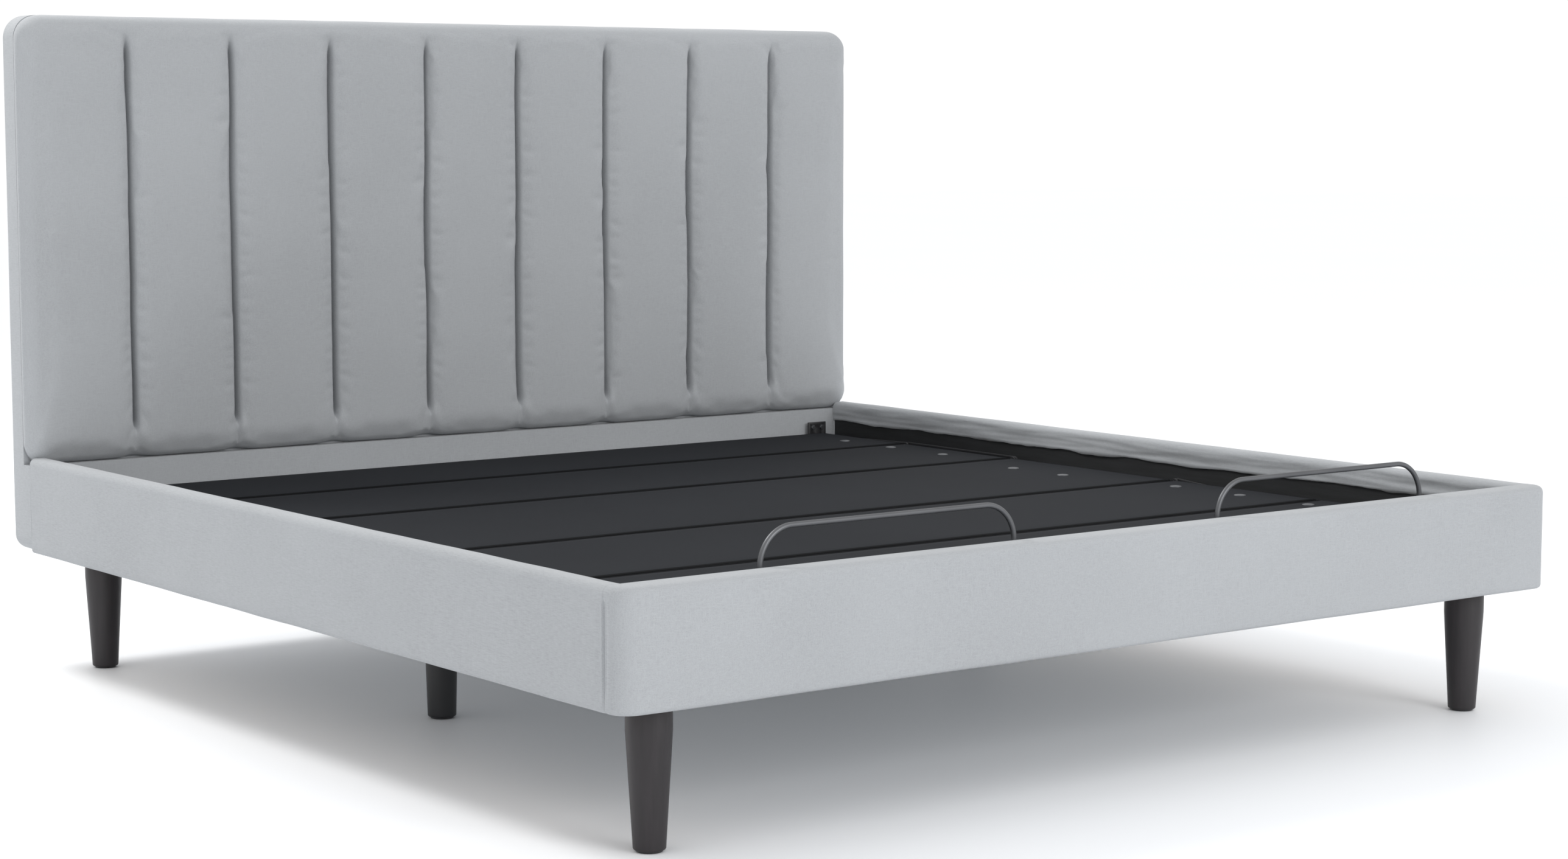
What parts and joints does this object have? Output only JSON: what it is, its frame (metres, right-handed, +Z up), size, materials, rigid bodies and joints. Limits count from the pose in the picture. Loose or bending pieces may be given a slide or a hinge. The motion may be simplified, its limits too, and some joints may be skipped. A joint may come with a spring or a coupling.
{
  "type": "adjustable bed base",
  "caption": "King-size platform bed with channel-tufted headboard, padded rails, tapered legs and a motorised adjustable base with fabric deck and mattress retainer bars",
  "frame": {"origin": "centre of the footprint, on the floor under the feet of the legs", "axes": "+Z up; +Y towards the headboard, the foot of the bed faces -Y; +X is the right-hand side seen from the foot"},
  "size_m": [2.03, 2.16, 1.277],
  "materials": {
    "light_fabric": "woven upholstery",
    "dark_fabric": "charcoal woven",
    "black_board": "matte",
    "timber": "planed",
    "leg_wood": "satin",
    "black_steel": "powder coat",
    "bright_steel": "polished",
    "grey_steel": "satin",
    "black_plastic": "matte"
  },
  "bodies": {
    "bed": {"headboard_frame": "light_fabric", "headboard_pad": "light_fabric", "side_rail_left": "black_board", "side_rail_left_cover": "light_fabric", "side_rail_right": "black_board", "side_rail_right_cover": "light_fabric", "foot_rail": "black_board", "foot_rail_cover": "light_fabric", "corner_block_front_left": "timber", "corner_block_front_right": "timber", "corner_block_rear_left": "timber", "corner_block_rear_right": "timber", "leg_front_left": "leg_wood", "leg_front_right": "leg_wood", "leg_rear_left": "leg_wood", "leg_rear_right": "leg_wood", "ledger_left": "timber", "ledger_right": "timber", "centre_beam": "black_steel", "mid_leg_left": "black_plastic", "mid_leg_right": "black_plastic", "base_side_tube_left": "black_steel", "base_side_tube_right": "black_steel", "base_cross_tube_head": "black_steel", "base_cross_tube_back": "black_steel", "base_cross_tube_thigh": "black_steel", "base_cross_tube_foot": "black_steel", "seat_panel": "dark_fabric", "hinge_rod_back": "black_steel", "hinge_rod_thigh": "black_steel", "control_box": "black_plastic", "head_bracket_left": "black_steel", "head_bracket_right": "black_steel", "head_actuator": "black_plastic", "foot_actuator": "black_plastic"},
    "back_section": {"back_panel": "dark_fabric", "back_arm_left": "black_steel", "back_arm_right": "black_steel", "back_cross_bar": "black_steel", "hinge_rod_pillow": "black_steel", "pillow_actuator": "black_plastic"},
    "pillow_section": {"pillow_panel": "dark_fabric", "pillow_arm_left": "black_steel", "pillow_arm_right": "black_steel", "pillow_lever": "black_steel"},
    "thigh_section": {"thigh_panel": "dark_fabric", "thigh_arm_left": "black_steel", "thigh_arm_right": "black_steel", "thigh_cross_bar": "black_steel", "hinge_rod_knee": "black_steel"},
    "foot_section": {"foot_panel": "dark_fabric", "foot_arm_left": "black_steel", "foot_arm_right": "black_steel", "retainer_bar_left": "grey_steel", "retainer_bar_right": "grey_steel"},
    "calf_links": {"calf_link_left": "black_steel", "calf_link_right": "black_steel"},
    "head_rod": {"head_actuator_rod": "bright_steel"},
    "foot_rod": {"foot_actuator_rod": "bright_steel"},
    "pillow_rod": {"pillow_actuator_rod": "bright_steel"}
  },
  "joints": [
    {"name": "back_lift", "type": "hinge", "parent": "bed", "child": "back_section", "pos_m": [0, 0.305, 0.341], "axis": [1, 0, 0], "range_deg": [0, 60]},
    {"name": "pillow_tilt", "type": "hinge", "parent": "back_section", "child": "pillow_section", "pos_m": [0, 0.67, 0.341], "axis": [1, 0, 0], "range_deg": [0, 30]},
    {"name": "thigh_lift", "type": "hinge", "parent": "bed", "child": "thigh_section", "pos_m": [0, -0.195, 0.341], "axis": [-1, 0, 0], "range_deg": [0, 35]},
    {"name": "knee_fold", "type": "hinge", "parent": "thigh_section", "child": "foot_section", "pos_m": [0, -0.595, 0.312], "axis": [-1, 0, 0], "range_deg": [-35.1, 0.1]},
    {"name": "link_swing", "type": "hinge", "parent": "bed", "child": "calf_links", "pos_m": [0, -0.23, 0.276], "axis": [-1, 0, 0], "range_deg": [-0.1, 35.1]},
    {"name": "head_rod_slide", "type": "slide", "parent": "bed", "child": "head_rod", "axis": [0, 1, 0], "range_m": [0, 0.1642]},
    {"name": "foot_rod_slide", "type": "slide", "parent": "bed", "child": "foot_rod", "axis": [0, -1, 0], "range_m": [0, 0.0898]},
    {"name": "pillow_rod_slide", "type": "slide", "parent": "back_section", "child": "pillow_rod", "axis": [0, 1, 0], "range_m": [0, 0.0458]}
  ],
  "couplings": [
    {"joint": "knee_fold", "follows": "thigh_lift", "ratio": -1},
    {"joint": "link_swing", "follows": "thigh_lift", "ratio": 1},
    {"joint": "head_rod_slide", "follows": "back_lift", "m_per_rad": 0.15658},
    {"joint": "foot_rod_slide", "follows": "thigh_lift", "m_per_rad": 0.14659},
    {"joint": "pillow_rod_slide", "follows": "pillow_tilt", "m_per_rad": 0.087}
  ]
}
